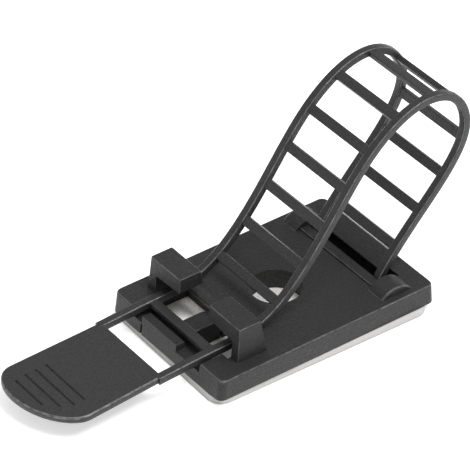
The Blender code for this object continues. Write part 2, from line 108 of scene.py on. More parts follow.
def deselect_all() -> None:
    """Leave nothing selected, in object mode."""
    if bpy.context.object and bpy.context.object.mode != "OBJECT":
        bpy.ops.object.mode_set(mode="OBJECT")
    bpy.ops.object.select_all(action="DESELECT")


def make_active(piece: Piece) -> None:
    """Select one object alone and make it the active one.

    Args:
        piece: the object.
    """
    deselect_all()
    piece.select_set(True)
    bpy.context.view_layer.objects.active = piece


def added(name: str) -> Piece:
    """Name the object that was just added and return it."""
    bpy.context.object.name = name
    return bpy.context.object


@contextmanager
def editing(piece: Piece, everything: bool = False) -> Iterator[None]:
    """Hold an object in edit mode, with nothing or everything selected at first.

    Args:
        piece: the object.
        everything: whether its whole mesh is selected at first.

    Returns:
        A context that holds the object in edit mode.
    """
    make_active(piece)
    bpy.ops.object.mode_set(mode="EDIT")
    bpy.ops.mesh.select_all(action="SELECT" if everything else "DESELECT")
    yield
    bpy.ops.object.mode_set(mode="OBJECT")


@contextmanager
def applied(piece: Piece, kind: str) -> Iterator[bpy.types.Modifier]:
    """Add a modifier of a kind, hold it while it is set up, and apply it.

    Args:
        piece: the object.
        kind: the modifier's type, by its name in Blender.

    Returns:
        A context that holds the modifier.
    """
    make_active(piece)
    bpy.ops.object.modifier_add(type=kind)
    modifier = piece.modifiers[-1]
    yield modifier
    bpy.ops.object.modifier_apply(modifier=modifier.name)


def pick(piece: Piece, part: Part, test: Test) -> None:
    """Select what a test picks, in edit mode.

    Args:
        piece: the object in edit mode.
        part: whether points, edges or faces are picked.
        test: is given the middle in millimetres, the normal or an edge's way, and the element.
    """
    bpy.ops.mesh.select_mode(type=part.value)
    bpy.ops.mesh.select_all(action="DESELECT")
    shape = bmesh.from_edit_mesh(piece.data)
    if part is Part.POINTS:
        found = [(vert.co, vert.normal, vert) for vert in shape.verts]
    elif part is Part.EDGES:
        ends = [(edge.verts[0].co, edge.verts[1].co, edge) for edge in shape.edges]
        found = [((a + b) / 2, (b - a).normalized(), edge) for a, b, edge in ends]
    else:
        found = [(face.calc_center_median(), face.normal, face) for face in shape.faces]
    for middle, way, item in found:
        if test(middle / MM, way, item):
            item.select_set(True)
    bmesh.update_edit_mesh(piece.data)


def along(axis: Axis) -> Test:
    """A test for edges that run along an axis."""
    return lambda middle, way, edge: abs(way[axis]) > ALONG


def at_end(axis: Axis, place: float) -> Test:
    """A test for the edges round the ends of a bar, past a place along it."""
    return lambda middle, way, edge: abs(middle[axis]) > place and abs(way[axis]) < SQUARE


def above(level: float) -> Test:
    """A test for what lies higher than a level."""
    return lambda middle, way, item: middle.z > level


def settled(piece: Piece) -> Piece:
    """Put an object's place, turn and size into its mesh and return it.

    Args:
        piece: the object.

    Returns:
        The object.
    """
    make_active(piece)
    bpy.ops.object.transform_apply(location=True, rotation=True, scale=True)
    return piece


def block(name: str, low: Spot, high: Spot) -> Piece:
    """Add a box between its lowest and its highest corner, to be shaped further.

    Args:
        name: the object's name.
        low: the lowest corner in millimetres.
        high: the highest corner in millimetres.

    Returns:
        The box.
    """
    deselect_all()
    middle = [(a + b) / 2 * MM for a, b in zip(low, high)]
    size = [(b - a) * MM for a, b in zip(low, high)]
    bpy.ops.mesh.primitive_cube_add(size=1.0, location=middle, scale=size)
    return settled(added(name))


def rod(name: str, middle: Spot, radius: float, length: float, steps: int, axis: Axis) -> Piece:
    """Add a round bar, to be shaped further.

    Args:
        name: its name.
        middle: its middle.
        radius: its radius.
        length: its length.
        steps: the number of its sides.
        axis: Y or Z, along which it lies.

    Returns:
        The bar.
    """
    deselect_all()
    turn = (math.pi / 2 if axis is Axis.Y else 0.0, 0.0, 0.0)
    place = [value * MM for value in middle]
    bpy.ops.mesh.primitive_cylinder_add(
        vertices=steps, radius=radius * MM, depth=length * MM, location=place, rotation=turn
    )
    return settled(added(name))


def round_edges(piece: Piece, radius: float, segments: int, test: Test) -> None:
    """Round some edges of an object.

    Args:
        piece: the object.
        radius: how far the rounding reaches from each edge.
        segments: the number of faces across the rounding.
        test: picks the edges.
    """
    with editing(piece):
        pick(piece, Part.EDGES, test)
        bpy.ops.mesh.bevel(
            offset_type="OFFSET", offset=radius * MM, segments=segments, profile=0.5,
            affect="EDGES", clamp_overlap=True,
        )


def cut_across(piece: Piece, axis: Axis, places: list[float], drop_below: bool = False) -> None:
    """Cut an object's faces at places along an axis.

    Args:
        piece: the object.
        axis: the axis.
        places: where the cuts lie, in millimetres.
        drop_below: whether what lies below a cut is cleared away and the cut closed.
    """
    normal = [float(index == axis) for index in range(3)]
    with editing(piece):
        for place in places:
            bpy.ops.mesh.select_all(action="SELECT")
            bpy.ops.mesh.bisect(
                plane_co=[value * place * MM for value in normal], plane_no=normal,
                use_fill=drop_below, clear_inner=drop_below, threshold=TOUCH,
            )


def move_points(piece: Piece, move: Callable[[Vector], Spot]) -> None:
    """Move each point of a mesh by what a function gives for its place, all in millimetres."""
    for vert in piece.data.vertices:
        vert.co += Vector(move(vert.co / MM)) * MM


def mirrored(piece: Piece, name: str) -> Piece:
    """Copy an object to the other side of the clip and return the copy.

    Args:
        piece: the object.
        name: the copy's name.

    Returns:
        The copy.
    """
    make_active(piece)
    bpy.ops.object.duplicate(linked=False)
    twin = added(name)
    move_points(twin, lambda place: (0.0, -2 * place.y, 0.0))
    with editing(twin, everything=True):
        bpy.ops.mesh.normals_make_consistent(inside=False)
    return twin


def draw_out(x: float = 0.0, y: float = 0.0, z: float = 0.0) -> None:
    """Extrude what is selected by a distance in millimetres."""
    move = (x * MM, y * MM, z * MM)
    bpy.ops.mesh.extrude_region_move(TRANSFORM_OT_translate={"value": move})


def scale_flat(x: float, y: float) -> None:
    """Scale what is selected along X and Y about the origin."""
    bpy.ops.transform.resize(value=(x, y, 1.0), center_override=(0.0, 0.0, 0.0))


def merge_flat(degrees: float = FLAT_ANGLE) -> None:
    """Merge the selected faces that lie flat to each other."""
    bpy.ops.mesh.dissolve_limited(angle_limit=math.radians(degrees))


def flatten_faces(piece: Piece) -> None:
    """Split the faces into flat triangles, which a Boolean needs."""
    with editing(piece, everything=True):
        bpy.ops.mesh.quads_convert_to_tris(quad_method="BEAUTY", ngon_method="BEAUTY")


def combine(piece: Piece, tool: Piece, way: Join) -> None:
    """Add a shape to an object or cut it away, and clear the shape off.

    Args:
        piece: the object.
        tool: the shape.
        way: whether it is added or cut away.
    """
    with applied(piece, "BOOLEAN") as modifier:
        modifier.operation = way.value
        modifier.solver = "EXACT"
        modifier.object = tool
    bpy.data.objects.remove(tool, do_unlink=True)


def add_both(piece: Piece, far: Piece, name: str) -> None:
    """Add a shape at the far side and its mirrored, named copy at the near side.

    Args:
        piece: the object that both are added to.
        far: the shape at the far side.
        name: the copy's name.
    """
    near = mirrored(far, name)
    combine(piece, far, Join.ADD)
    combine(piece, near, Join.ADD)


def cut_block(piece: Piece, name: str, low: Spot, high: Spot) -> None:
    """Cut a box away from an object, between two opposite corners."""
    combine(piece, block(name, low, high), Join.CUT)


def mark_wear_and_highlight_edges(piece: Piece, width: float, tilt: float) -> None:
    """Mark the narrow tilted faces along rounded edges, which are painted paler: partly scuffed
    finish, partly a painted highlight.

    Args:
        piece: the object.
        width: faces narrower than this many millimetres are marked.
        tilt: and turned from every axis by more than this many degrees.
    """
    mesh = piece.data
    limit = math.cos(math.radians(tilt))
    values = []
    for face in mesh.polygons:
        corners = [mesh.vertices[index].co for index in face.vertices]
        longest = max((a - b).length for a, b in zip(corners, corners[1:] + corners[:1]))
        box_area = face.area * (2 if len(corners) == 3 else 1)
        narrow = box_area / longest < width * MM
        tilted = max(abs(value) for value in face.normal) < limit
        values.append(float(narrow and tilted))
    # marked faces are painted paler: partly scuffed finish, partly a painted highlight
    layer = mesh.attributes.new(WEAR_AND_HIGHLIGHT_MARK, "FLOAT", "FACE")
    layer.data.foreach_set("value", values)


def finish(piece: Piece) -> None:
    """Clean an object's mesh, point its faces outwards and shade its round forms smooth.

    Args:
        piece: the object.
    """
    with editing(piece, everything=True):
        bpy.ops.mesh.remove_doubles(threshold=TOUCH)
        bpy.ops.mesh.normals_make_consistent(inside=False)
    make_active(piece)
    bpy.ops.object.shade_smooth_by_angle(angle=math.radians(SMOOTH_ANGLE))
    with applied(piece, "WEIGHTED_NORMAL") as modifier:
        modifier.keep_sharp = True


def hand_over(piece: Piece, node: str, material: bpy.types.Material) -> None:
    """Dress a piece and let it stand for a solid on the clip's body.

    Args:
        piece: the piece.
        node: the solid's name.
        material: the piece's only material.
    """
    piece.data.materials.clear()
    piece.data.materials.append(material)
    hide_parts(node)
    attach(piece, BODY)
    log.info("%s stands for %s with %d faces", piece.name, node, len(piece.data.polygons))


@dataclass
class StrapRoute:
    """Centre line of the strap in the X-Z plane, from the tab's tip back to the hinge pin."""

    tab: tuple[float, float] = (-25.105, 4.3715)
    latch: tuple[float, float] = (-16.475, 4.7785)
    rim: tuple[float, float] = (-9.0, 5.55)
    loop: tuple[tuple[float, float], ...] = (
        (-0.12, 12.179), (7.117, 21.812), (15.420, 30.497), (22.526, 32.69), (26.522, 31.208),
        (29.06, 25.339), (26.697, 19.53), (21.622, 13.572), (16.721, 8.089),
    )
    pin: tuple[float, float] = (13.2, 3.05)
    tab_length: float = 18.9
    tab_slope: float = 2.7
    lean: float = 62.0

    def slopes(self, knots: np.ndarray, spans: np.ndarray) -> np.ndarray:
        """Slopes at the knots that leave no jump in curvature.

        Args:
            knots: the points that the line goes through.
            spans: the distances between them.

        Returns:
            One slope for each knot.
        """
        tab_slope, lean = math.radians(self.tab_slope), math.radians(self.lean)
        count = len(knots)
        matrix = np.eye(count)
        target = np.zeros((count, 2))
        target[0] = (math.cos(tab_slope), math.sin(tab_slope))
        target[-1] = (-math.cos(lean), -math.sin(lean))
        for index in range(1, count - 1):
            before, after = spans[index - 1], spans[index]
            matrix[index, index - 1:index + 2] = (1 / before, 2 / before + 2 / after, 1 / after)
            rise = (knots[index] - knots[index - 1]) / before ** 2
            target[index] = 3 * (rise + (knots[index + 1] - knots[index]) / after ** 2)
        return np.linalg.solve(matrix, target)

    def curve(self) -> Piece:
        """Draw the route as a Bezier curve, with the straight tab first.

        Returns:
            The curve.
        """
        knots = np.array([self.tab, self.latch, self.rim, *self.loop, self.pin])
        spans = np.linalg.norm(np.diff(knots, axis=0), axis=1)
        slopes = self.slopes(knots, spans)
        knots = np.vstack([knots[0] - slopes[0] * self.tab_length, knots])
        slopes = np.vstack([slopes[:1], slopes])
        spans = np.concatenate([[self.tab_length], spans])
        data = bpy.data.curves.new("strap_route", "CURVE")
        data.dimensions = "3D"
        data.twist_mode = "MINIMUM"
        data.resolution_u = 64
        spline = data.splines.new("BEZIER")
        spline.bezier_points.add(len(knots) - 1)
        reaches = np.concatenate([spans[:1], spans, spans[-1:]]) / 3
        for index, point in enumerate(spline.bezier_points):
            point.handle_left_type = point.handle_right_type = "FREE"
            before, after = reaches[index:index + 2, None] * slopes[index]
            places = (knots[index] - before, knots[index], knots[index] + after)
            spots = [(x * MM, 0.0, z * MM) for x, z in places]
            point.handle_left, point.co, point.handle_right = spots
        line = bpy.data.objects.new("strap_route", data)
        bpy.context.scene.collection.objects.link(line)
        return line


@dataclass
class LadderStrap:
    """Two rails joined by rungs, with a hinge pin and panel at one end and a pull tab at the other.

    It is modelled flat along -X from its pin, upper face up, and then bent along its route.
    """

    route: StrapRoute = field(default_factory=StrapRoute)
    width: float = 16.0
    side_shift: float = 0.4
    rail_width: float = 1.4
    rail_thickness: float = 1.3
    rail_rounding: float = 0.3
    rail_step: float = 0.4
    rung_width: float = 1.55
    rung_thickness: float = 0.9
    rung_rounding: float = 0.16
    rung_pitch: float = 6.35
    rung_count: int = 14
    pin_to_latch: float = 89.118
    panel_length: float = 5.6
    panel_foot: float = 2.4
    panel_thickness: float = 1.0
    panel_rounding: float = 0.15
    pin_radius: float = 0.95
    pin_overhang: float = 2.4
    pin_rounding: float = 0.2
    pin_steps: int = 48
    tab_from_latch: float = 8.64
    tab_half_width: float = 7.7
    tab_flare: float = 0.3
    tab_thickness: float = 1.2
    tab_rounding: float = 0.38
    tab_end_depth: float = 4.75
    tab_end_skew: float = 10.8
    tab_end_steps: int = 96
    rail_root: float = 0.8
    groove_count: int = 4
    groove_pitch: float = 1.75
    groove_from_end: float = 2.1
    groove_margin: float = 3.0
    groove_width: float = 0.38
    groove_depth: float = 0.2
    wear_and_highlight_width: float = 0.25
    wear_and_highlight_tilt: float = 30.0

    @property
    def tab_start(self) -> float:
        """Where the tab begins on the flat strap."""
        return -self.pin_to_latch - self.tab_from_latch

    @property
    def rail_middle(self) -> float:
        """Distance of each rail's middle from the strap's centre line."""
        return (self.width - self.rail_width) / 2

    def rails(self) -> Piece:
        """Both rails, cut across often enough to bend smoothly.

        Returns:
            The rails, joined in one object.
        """
        end = self.tab_start - self.rail_root
        half = self.rail_thickness / 2
        inner = self.rail_middle - self.rail_width / 2
        rail = block("ladder_strap_moulding", (end, inner, -half), (0.0, self.width / 2, half))
        round_edges(rail, self.rail_rounding, 3, along(Axis.X))
        self.divide(rail, -end)
        other = mirrored(rail, "other_rail")
        make_active(rail)
        other.select_set(True)
        bpy.ops.object.join()
        return rail

    def divide(self, piece: Piece, length: float) -> None:
        """Divide a bar of a given length into short ones along X.

        Args:
            piece: the bar.
            length: its length in millimetres.
        """
        with editing(piece):
            pick(piece, Part.EDGES, along(Axis.X))
            bpy.ops.mesh.subdivide(number_cuts=round(length / self.rail_step) - 1)

    def rungs(self) -> Piece:
        """Every rung, from the one that is caught by the latch back to the panel.

        Returns:
            The rungs, in one object.
        """
        half_width, half = self.rung_width / 2, self.rung_thickness / 2
        low = (-self.pin_to_latch - half_width, -self.rail_middle, -half)
        high = (-self.pin_to_latch + half_width, self.rail_middle, half)
        rungs = block("rungs", low, high)
        round_edges(rungs, self.rung_rounding, 2, along(Axis.Y))
        with applied(rungs, "ARRAY") as array:
            array.count = self.rung_count
            array.use_relative_offset = False
            array.use_constant_offset = True
            array.constant_offset_displace = (self.rung_pitch * MM, 0.0, 0.0)
        return rungs

    def panel(self) -> Piece:
        """The solid panel near the pin, with a gap between its foot and the pin.

        Returns:
            The panel.
        """
        half = self.panel_thickness / 2
        low = (-self.panel_length, -self.rail_middle, -half)
        panel = block("panel", low, (-self.panel_foot, self.rail_middle, half))
        round_edges(panel, self.panel_rounding, 2, along(Axis.Y))
        self.divide(panel, self.panel_length)
        return panel

    def pin(self) -> Piece:
        """The hinge pin, with rounded ends that stand out past the rails.

        Returns:
            The pin.
        """
        half_length = self.width / 2 + self.pin_overhang
        middle, length = (0.0, 0.0, 0.0), 2 * half_length
        pin = rod("pin", middle, self.pin_radius, length, self.pin_steps, Axis.Y)
        round_edges(pin, self.pin_rounding, 2, at_end(Axis.Y, half_length - LEVEL))
        return pin

    def tab(self) -> Piece:
        """The pull tab: straight sides that widen a little, and a skewed half-ellipse end.

        Returns:
            The tab.
        """
        deselect_all()
        bpy.ops.mesh.primitive_circle_add(
            vertices=self.tab_end_steps, radius=MM, fill_type="NOTHING", location=(0.0, 0.0, 0.0)
        )
        tab = added("tab")
        wide = self.tab_half_width + self.tab_flare
        straight = self.route.tab_length - self.tab_end_depth
        with editing(tab):
            pick(tab, Part.POINTS, lambda place, way, vert: place.x > LEVEL)
            bpy.ops.mesh.delete(type="VERT")
            bpy.ops.mesh.select_all(action="SELECT")
            bpy.ops.mesh.edge_face_add()
            scale_flat(self.tab_end_depth, wide)
            pick(
                tab, Part.EDGES,
                lambda middle, way, edge: abs(middle.x) < LEVEL and abs(way.y) > ALONG,
            )
            draw_out(x=straight)
            scale_flat(1.0, self.tab_half_width / wide)
        skew = math.tan(math.radians(self.tab_end_skew))
        move_points(tab, lambda place: (-place.y * skew if place.x < LEVEL else 0.0, 0.0, 0.0))
        with editing(tab, everything=True):
            draw_out(z=self.tab_thickness)
            bpy.ops.mesh.select_all(action="SELECT")
            bpy.ops.mesh.normals_make_consistent(inside=False)
            merge_flat()
            place = ((self.tab_start - straight) * MM, 0.0, -self.tab_thickness / 2 * MM)
            bpy.ops.transform.translate(value=place)
        level = self.tab_thickness / 2 - LEVEL
        round_edges(tab, self.tab_rounding, 4, lambda middle, way, edge: abs(middle.z) > level)
        return tab

    def grooves(self, tab: Piece) -> list[Piece]:
        """V grooves across the tab's grip, each as long as the outline leaves room for.

        Args:
            tab: the finished tab, whose outline sets the lengths.

        Returns:
            One sharp bar to cut with for each groove.
        """
        points = [vert.co / MM for vert in tab.data.vertices]
        top = self.tab_thickness / 2
        outline = [(point.x, point.y) for point in points if abs(point.z) < top - NEAR]
        rims = [sorted(spot for spot in outline if side * spot[1] > LEVEL) for side in (-1, 1)]
        first = self.tab_start - self.route.tab_length + self.groove_from_end
        low, floor, high = (top + share * self.groove_depth for share in (-1.0, -0.5, 1.0))
        half = self.groove_width
        bars = []
        for index in range(self.groove_count):
            middle = first + index * self.groove_pitch
            near, far = (float(np.interp(middle, *zip(*rim))) for rim in rims)
            near, far = near + self.groove_margin, far - self.groove_margin
            bar = block("groove", (middle - half, near, low), (middle + half, far, high))
            move_points(bar, lambda at: (middle - at.x if at.z < floor else 0.0, 0.0, 0.0))
            with editing(bar, everything=True):
                bpy.ops.mesh.remove_doubles(threshold=TOUCH)
            bars.append(bar)
        return bars

    def bend(self, strap: Piece) -> None:
        """Slide the flat strap to the route's far end and carry it along the route.

        Args:
            strap: the flat strap.
        """
        line = self.route.curve()
        length = line.data.splines[0].calc_length()
        with editing(strap, everything=True):
            bpy.ops.transform.translate(value=(length, self.side_shift * MM, 0.0))
        with applied(strap, "CURVE") as modifier:
            modifier.object = line
            modifier.deform_axis = "POS_X"
        bpy.data.objects.remove(line, do_unlink=True)

    def build(self) -> Piece:
        """Model the flat strap, join its parts and bend it.

        Returns:
            The finished strap.
        """
        strap = self.rails()
        combine(strap, self.rungs(), Join.ADD)
        combine(strap, self.panel(), Join.ADD)
        tab = self.tab()
        bars = self.grooves(tab)
        combine(strap, tab, Join.ADD)
        mark_wear_and_highlight_edges(strap, self.wear_and_highlight_width, self.wear_and_highlight_tilt)
        for bar in bars:
            combine(strap, bar, Join.CUT)
        combine(strap, self.pin(), Join.ADD)
        self.bend(strap)
        finish(strap)
        return strap


@dataclass
class Hook:
    """Inverted L over one rail, narrower towards its top."""

    rear: float = -9.6
    length: float = 5.25
    foot: float = 4.1
    deck: float = 4.6
    top: float = 10.15
    inner: float = 9.25
    outer: float = 11.0
    reach: float = 5.7
    arm_thickness: float = 2.8
    tip_thickness: float = 2.45
    front_draft: float = 5.7
    rear_draft: float = 9.7
    side_draft: float = 2.1
    rounding: float = 0.2

    def build(self) -> Piece:
        """Model the far hook: a post, an arm drawn out of it, drafts and rounded edges.

        Returns:
            The hook, with flat faces for a Boolean.
        """
        front, arm = self.rear - self.length, self.top - self.arm_thickness
        low, high = (front, self.inner, self.foot), (self.rear, self.outer, self.top)
        hook = block("hook", low, high)
        cut_across(hook, Axis.Z, [arm])
        drawn, under = self.inner - NEAR, arm + NEAR
        with editing(hook):
            pick(hook, Part.FACES, lambda middle, way, face: way.y < -ALONG and middle.z > arm)
            draw_out(y=-self.reach)
            pick(hook, Part.POINTS, lambda at, way, vert: at.y < drawn and at.z < under)
            lift = (self.arm_thickness - self.tip_thickness) * MM
            bpy.ops.transform.translate(value=(0.0, 0.0, lift))
        middle = self.rear - self.length / 2

        def draft(place: Vector) -> Spot:
            """How far a point leans inwards for its height.

            Args:
                place: the point.

            Returns:
                The way that it moves.
            """
            height = place.z - self.deck
            angle = -self.rear_draft if place.x > middle else self.front_draft
            side = -self.side_draft if place.y > self.outer - NEAR else 0.0
            x, y = (height * math.tan(math.radians(value)) for value in (angle, side))
            return x, y, 0.0

        move_points(hook, draft)
        round_edges(hook, self.rounding, 3, above(self.foot + NEAR))
        flatten_faces(hook)
        return hook


@dataclass
class Barrel:
    """Raised half barrel over one end of the hinge pin."""

    pin_x: float = 13.2
    radius: float = 3.6
    top: float = 5.85
    foot: float = 4.1
    inner: float = 8.7
    outer: float = 12.0
    rounding: float = 0.3
    steps: int = 144

    def build(self) -> Piece:
        """Model the far barrel from a round bar cut off below the deck.

        Returns:
            The barrel, with flat faces for a Boolean.
        """
        middle = (self.pin_x, (self.inner + self.outer) / 2, self.top - self.radius)
        barrel = rod("barrel", middle, self.radius, self.outer - self.inner, self.steps, Axis.Y)
        round_edges(barrel, self.rounding, 4, at_end(Axis.Y, self.outer - LEVEL))
        cut_across(barrel, Axis.Z, [self.foot], drop_below=True)
        flatten_faces(barrel)
        return barrel


@dataclass
class PawlTongue:
    """Springy tongue rooted in the front wall, with a head that stands behind the caught rung."""

    root: float = -18.5
    tip: float = -10.9
    half_width: float = 1.6
    underside: float = 1.3
    beam: float = 1.85
    tooth: float = -15.4
    tooth_land: float = 3.5
    head: float = 4.65
    tip_thickness: float = 3.3
    nose: float = 0.4
    rounding: float = 0.12

    def build(self) -> Piece:
        """Model the beam, draw the head up out of it and thin it towards the tip.

        Returns:
            The tongue, with flat faces for a Boolean.
        """
        top = self.underside + self.beam
        low, high = (self.root, -self.half_width, self.underside), (self.tip, self.half_width, top)
        tongue = block("tongue", low, high)
        cut_across(tongue, Axis.X, [self.tooth])
        with editing(tongue):
            pick(
                tongue, Part.FACES,
                lambda middle, way, face: way.z > ALONG and middle.x > self.tooth,
            )
            draw_out(z=self.head - top)
            bpy.ops.mesh.select_all(action="SELECT")
            merge_flat()
        cut_across(tongue, Axis.X, [self.tooth, self.tooth + self.tooth_land])
        taper = (self.head - self.tip_thickness - self.underside) / (self.tip - self.tooth)

        def thin(place: Vector) -> Spot:
            """How far a point of the head moves up or down.

            Args:
                place: the point.

            Returns:
                The way that it moves.
            """
            if place.z < top - NEAR:
                return 0.0, 0.0, max(place.x - self.tooth, 0.0) * taper
            return 0.0, 0.0, -self.nose if place.x > self.tip - NEAR else 0.0

        move_points(tongue, thin)
        front = self.tooth - NEAR
        round_edges(tongue, self.rounding, 2, lambda middle, way, edge: middle.x > front)
        flatten_faces(tongue)
        return tongue


@dataclass
class BaseMoulding:
    """Flat base with a pocket, hooks over the rails, a pawl tongue and the hinge's barrels."""

    length: float = 38.4
    width: float = 26.5
    bottom: float = 1.25
    deck: float = 4.6
    corner_radius: float = 1.1
    front_draft: float = 0.45
    rear_draft: float = 0.25
    edge_rounding: float = 0.3
    rim: float = 0.12
    rim_inset: float = 0.6
    rim_turn: float = 57.0
    wear_and_highlight_width: float = 0.135
    wear_and_highlight_tilt: float = 20.0
    pocket: tuple[float, float] = (-17.8, -9.0)
    pocket_half_width: float = 9.2
    shoulders: tuple[float, float] = (-7.9, 8.8)
    shoulder_rear: float = -15.3
    web_length: float = 1.7
    web_top: float = 3.2
    stop_length: float = 1.6
    lip: tuple[float, float] = (-2.2, 6.1)
    lip_top: float = 4.3
    notch_floor: float = 3.2
    slit_width: float = 0.35
    slit_depth: float = 0.5
    slit_height: float = 1.7
    hole_x: float = 0.25
    hole_radius: float = 4.0
    hole_steps: int = 96
    slot: tuple[float, float] = (12.8, 16.21)
    slot_floor: float = 1.9
    ridge_length: float = 1.5
    ridge_height: float = 0.3
    ridge_rounding: float = 0.12
    pin_z: float = 3.05
    pin_groove_radius: float = 1.25
    pin_groove_half_length: float = 11.1
    pin_groove_steps: int = 64
    hook: Hook = field(default_factory=Hook)
    barrel: Barrel = field(default_factory=Barrel)
    tongue: PawlTongue = field(default_factory=PawlTongue)

    def plate(self) -> Piece:
        """The plate, with rounded corners and ends that lean out towards its underside.

        Returns:
            The plate.
        """
        half_length, half_width = self.length / 2, self.width / 2
        low, high = (-half_length, -half_width, self.bottom), (half_length, half_width, self.deck)
        plate = block("clip_base_moulding", low, high)
        round_edges(plate, self.corner_radius, 10, along(Axis.Z))

        def draft(place: Vector) -> Spot:
            """How far a point of the underside moves out.

            Args:
                place: the point.

            Returns:
                The way that it moves.
            """
            if place.z > self.bottom + NEAR:
                return 0.0, 0.0, 0.0
            return self.rear_draft if place.x > 0 else -self.front_draft, 0.0, 0.0

        move_points(plate, draft)
        round_edges(plate, self.edge_rounding, 4, above(self.deck - LEVEL))
        flatten_faces(plate)
        return plate

    def pocket_cuts(self, plate: Piece) -> None:
        """Cut the pocket, leaving a web behind the front wall, shoulders and the tongue's stop.

        Args:
            plate: the base so far.
        """
        half, top, under = self.pocket_half_width, self.deck + OVERCUT, self.bottom - OVERCUT
        front, rear = self.pocket
        near, far = self.shoulders
        behind_web = front + self.web_length
        cut_block(plate, "over_web", (front, near, self.web_top), (rear, far, top))
        cut_block(plate, "through", (behind_web, near, under), (rear, far, self.web_top + OVERCUT))
        cut_block(plate, "under_hooks", (self.shoulder_rear, -half, under), (rear, half, top))
        side = self.tongue.half_width
        low = (rear - self.stop_length, -side, self.bottom)
        stop = block("tongue_stop", low, (rear + OVERCUT, side, self.web_top))
        combine(plate, stop, Join.ADD)

    def front_wall(self, plate: Piece) -> None:
        """Cut the lip that the strap runs over, the rails' notches and the slit.

        Args:
            plate: the base so far.
        """
        edge, rear = -self.length / 2, self.pocket[0] + OVERCUT
        front = edge - self.front_draft - OVERCUT
        top, under = self.deck + OVERCUT, self.bottom - OVERCUT
        lip_near, lip_far = self.lip
        near, far = self.shoulders
        cut_block(plate, "lip", (front, lip_near, self.lip_top), (rear, lip_far, top))
        cut_block(plate, "near", (front, near, self.notch_floor), (rear, lip_near, top))
        cut_block(plate, "far", (front, lip_far, self.notch_floor), (rear, far, top))
        half, height = self.slit_width / 2, self.bottom + self.slit_height
        low, high = (front, lip_far - half, under), (edge + self.slit_depth, lip_far + half, height)
        cut_block(plate, "slit", low, high)

    def soften_cuts(self, plate: Piece) -> None:
        """Take the sharpness off the cut edges at the deck and on the front wall.

        Args:
            plate: the base so far.
        """
        with editing(plate, everything=True):
            bpy.ops.mesh.remove_doubles(threshold=TOUCH)
            merge_flat(2 * FLAT_ANGLE)
        levels = (self.deck, self.lip_top, self.notch_floor)

        def cut_edge(middle: Vector, way: Vector, edge: bmesh.types.BMEdge) -> bool:
            """Whether an edge is a sharp outer edge of a cut at one of the levels.

            Args:
                middle: the edge's middle.
                way: its direction.
                edge: the edge.

            Returns:
                Whether it is one.
            """
            between_faces = len(edge.link_faces) == 2 and edge.is_convex
            sharp = between_faces and edge.calc_face_angle() > math.radians(self.rim_turn)
            at_level = any(abs(middle.z - level) < LEVEL for level in levels)
            inside = middle.x < self.length / 2 - self.rim_inset
            inside = inside and abs(middle.y) < self.width / 2 - self.rim_inset
            return sharp and at_level and abs(way.z) < SQUARE and inside

        round_edges(plate, self.rim, 2, cut_edge)
        flatten_faces(plate)

    def hinge(self, plate: Piece) -> None:
        """Add the barrels and ridge, and cut the strap's slot and the pin's groove.

        Args:
            plate: the base so far.
        """
        add_both(plate, self.barrel.build(), "near_barrel")
        half, (slot_front, slot_rear) = self.barrel.inner, self.slot
        low = (slot_front - self.ridge_length, -half - OVERCUT, self.deck - OVERCUT)
        high = (slot_front + OVERCUT, half + OVERCUT, self.deck + self.ridge_height)
        ridge = block("ridge", low, high)
        front = low[0] + LEVEL
        round_edges(
            ridge, self.ridge_rounding, 2,
            lambda middle, way, edge: middle.x < front and abs(way.y) > ALONG,
        )
        combine(plate, ridge, Join.ADD)
        low, high = (slot_front, -half, self.slot_floor), (slot_rear, half, self.barrel.top)
        cut_block(plate, "slot", low, high)
        place, length = (self.barrel.pin_x, 0.0, self.pin_z), 2 * self.pin_groove_half_length
        groove = rod(
            "pin_groove", place, self.pin_groove_radius, length, self.pin_groove_steps, Axis.Y
        )
        under, middle = self.bottom - OVERCUT, self.pin_z - LEVEL
        move_points(groove, lambda at: (0.0, 0.0, under - at.z if at.z < middle else 0.0))
        combine(plate, groove, Join.CUT)

    def build(self) -> Piece:
        """Model the whole base.

        Returns:
            The finished base.
        """
        plate = self.plate()
        self.pocket_cuts(plate)
        self.front_wall(plate)
        middle = (self.hole_x, 0.0, self.deck / 2)
        hole = rod("hole", middle, self.hole_radius, 2 * self.deck, self.hole_steps, Axis.Z)
        combine(plate, hole, Join.CUT)
        self.soften_cuts(plate)
        add_both(plate, self.hook.build(), "near_hook")
        self.hinge(plate)
        combine(plate, self.tongue.build(), Join.ADD)
        mark_wear_and_highlight_edges(plate, self.wear_and_highlight_width, self.wear_and_highlight_tilt)
        finish(plate)
        return plate


@dataclass
class AdhesiveStrip:
    """Foam pad and release liner, stuck on a little askew."""

    length: float = 38.4
    width: float = 26.5
    corner_radius: float = 2.5
    slip: float = 0.35
    turn: float = -1.3
    foam: tuple[float, float] = (0.25, 1.15)
    foam_rounding: float = 0.12
    liner: tuple[float, float] = (0.0, 0.15)
    liner_rounding: float = 0.03

    def layer(self, name: str, levels: tuple[float, float], rounding: float) -> Piece:
        """Model one layer with rounded corners.

        Args:
            name: the piece's name.
            levels: its underside and its upper face.
            rounding: the radius of its outer edges.

        Returns:
            The layer, turned and slipped to its place.
        """
        x, y = self.length / 2, self.width / 2
        piece = block(name, (-x, -y, levels[0]), (x, y, levels[1]))
        round_edges(piece, self.corner_radius, 12, along(Axis.Z))
        round_edges(piece, rounding, 2, above(levels[1] - LEVEL))
        turn = Matrix.Rotation(math.radians(self.turn), 4, "Z")
        piece.data.transform(Matrix.Translation((-self.slip * MM, 0.0, 0.0)) @ turn)
        return piece

    def build(self) -> tuple[Piece, Piece]:
        """Model both layers.

        Returns:
            The foam pad and the liner.
        """
        foam = self.layer("foam_pad_sheet", self.foam, self.foam_rounding)
        liner = self.layer("release_liner_sheet", self.liner, self.liner_rounding)
        finish(foam)
        finish(liner)
        return foam, liner


def shade_of(colour: Spot, share: float = 1.0) -> tuple[float, float, float, float]:
    """A colour made darker or lighter by a share, with full alpha."""
    return (*[min(value * share, 1.0) for value in colour], 1.0)


